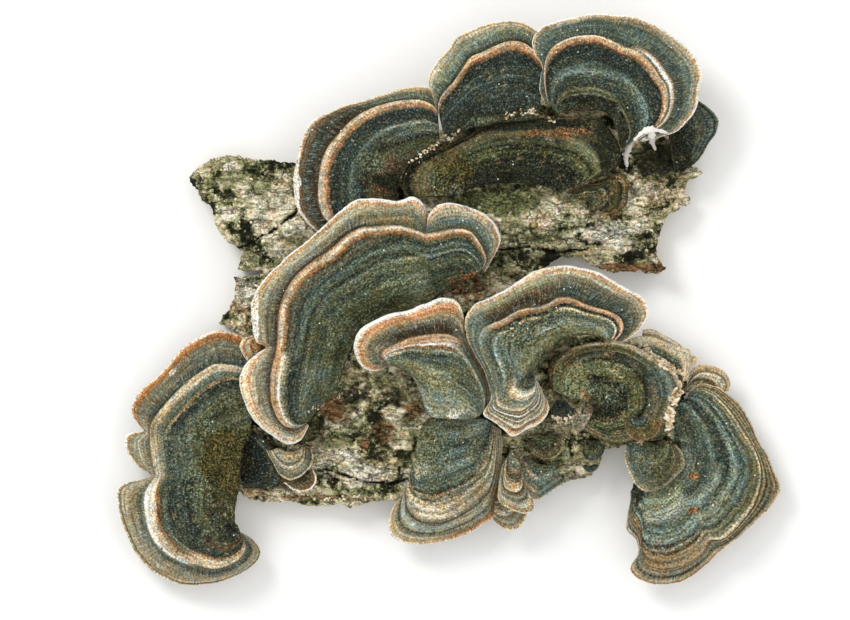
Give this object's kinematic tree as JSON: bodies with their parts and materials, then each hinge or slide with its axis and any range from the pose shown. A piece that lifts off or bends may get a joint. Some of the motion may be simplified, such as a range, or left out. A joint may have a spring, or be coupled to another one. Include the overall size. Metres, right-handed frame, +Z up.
{
  "type": "turkey tail fungus",
  "caption": "Cluster of thin overlapping ringed bracket fungi with pale rims and old mossy caps, grown on a loose flat slab of rough bark that it rests on.",
  "frame": {"origin": "centre of the bounding box in X and Y, at the flat underside of the bark slab that the cluster rests on", "axes": "+Z up out of the brackets' upper faces, +X to the right and +Y away, as seen from above"},
  "size_m": [0.2214, 0.1904, 0.0358],
  "materials": {
    "bark": "rough weathered bark with grey lichen, green moss and dark cracks",
    "fresh_cap": "matt velvety rings of slate blue, olive, cream, orange tan and grey brown with a pale rim",
    "tan_cap": "matt tan and rust rings with a pale rim",
    "old_cap": "old matt dark brown rings grown over with green algae",
    "dark_cap": "matt dark teal to black"
  },
  "bodies": {
    "root": {"bark_slab": "bark", "cap_top_left": "fresh_cap", "cap_top_middle": "fresh_cap", "cap_top_right": "fresh_cap", "cap_left_large": "fresh_cap", "cap_centre_left": "fresh_cap", "cap_centre_right": "fresh_cap", "cap_left_outer": "fresh_cap", "cap_bottom": "fresh_cap", "cap_right_large": "fresh_cap", "small_cap_blue": "fresh_cap", "small_cap_bark_a": "tan_cap", "small_cap_bark_b": "tan_cap", "small_cap_bottom_a": "tan_cap", "small_cap_bottom_b": "tan_cap", "small_cap_left": "tan_cap", "small_cap_right_top": "tan_cap", "cap_right_back": "tan_cap", "old_cap_top": "old_cap", "old_cap_top_small": "old_cap", "old_cap_right": "old_cap", "old_cap_right_small": "old_cap", "small_cap_right": "old_cap", "dark_cap_left": "dark_cap", "cap_back_right": "dark_cap", "cap_right_under": "dark_cap", "small_cap_gap": "dark_cap", "small_cap_low_a": "dark_cap", "small_cap_low_b": "dark_cap", "small_cap_low_c": "old_cap"}
  },
  "joints": []
}
